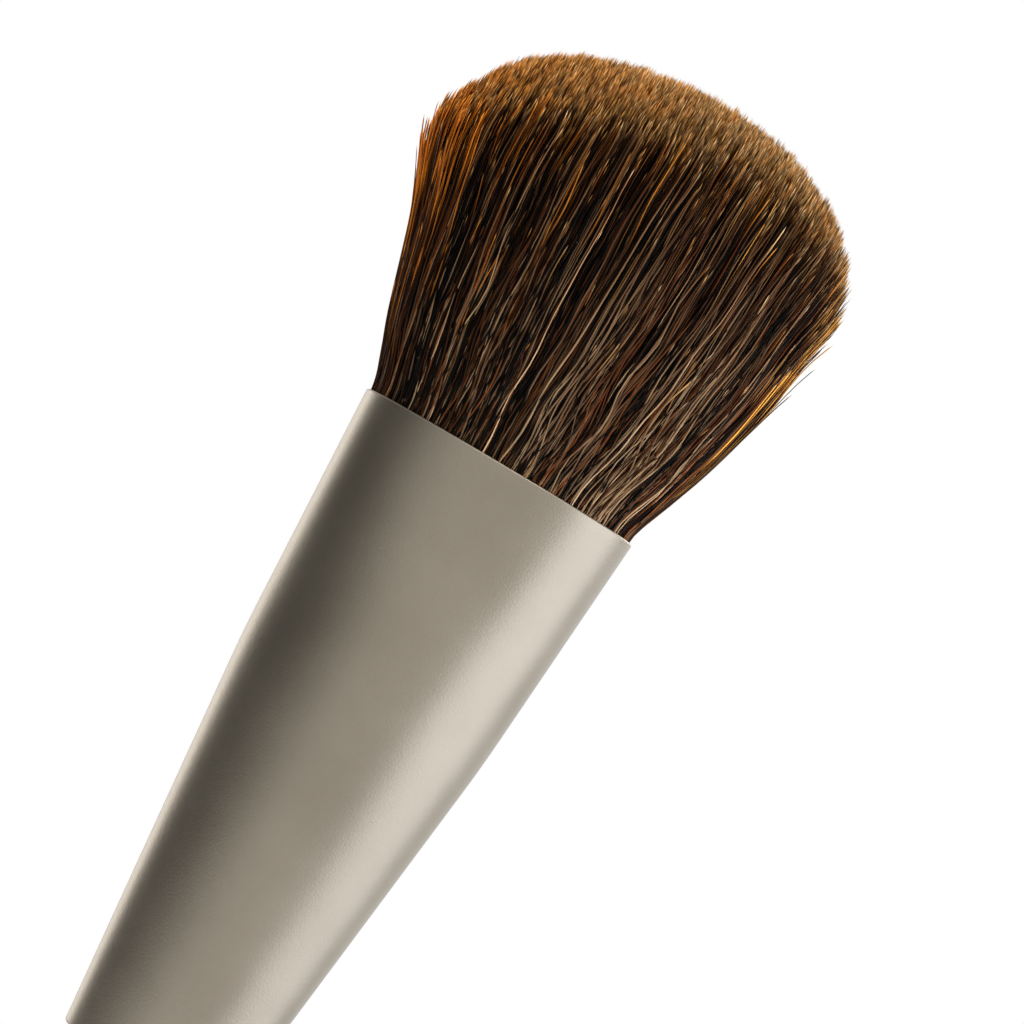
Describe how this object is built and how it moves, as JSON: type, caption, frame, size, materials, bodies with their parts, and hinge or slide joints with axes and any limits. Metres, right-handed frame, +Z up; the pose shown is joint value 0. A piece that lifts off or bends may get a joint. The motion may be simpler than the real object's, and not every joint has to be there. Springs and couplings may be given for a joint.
{
  "type": "foundation brush",
  "caption": "Domed make-up brush: dense brown bristles in a tapered satin metal ferrule, a polished collar and a turned lacquered handle.",
  "frame": {"origin": "centre of the flat end of the handle, which is the lowest point", "axes": "+Z up along the brush's axis towards the bristle tips, X along the wide side of the bristle head"},
  "size_m": [0.0319, 0.0264, 0.1691],
  "materials": {
    "handle_lacquer": "dark lacquer, gloss",
    "polished_metal": "polished",
    "satin_metal": "satin champagne",
    "moulded_plastic": "moulded",
    "set_glue": "set adhesive",
    "set_epoxy": "set epoxy",
    "binding_thread": "wound thread",
    "brown_hair": "fine hair, dark with lighter golden tips"
  },
  "bodies": {
    "root": {"handle": "handle_lacquer", "collar_ring": "polished_metal", "ferrule": "satin_metal", "handle_socket": "moulded_plastic", "tenon_adhesive": "set_glue", "knot_epoxy": "set_epoxy", "knot_binding": "binding_thread", "bristle_knot": "brown_hair"}
  },
  "joints": []
}
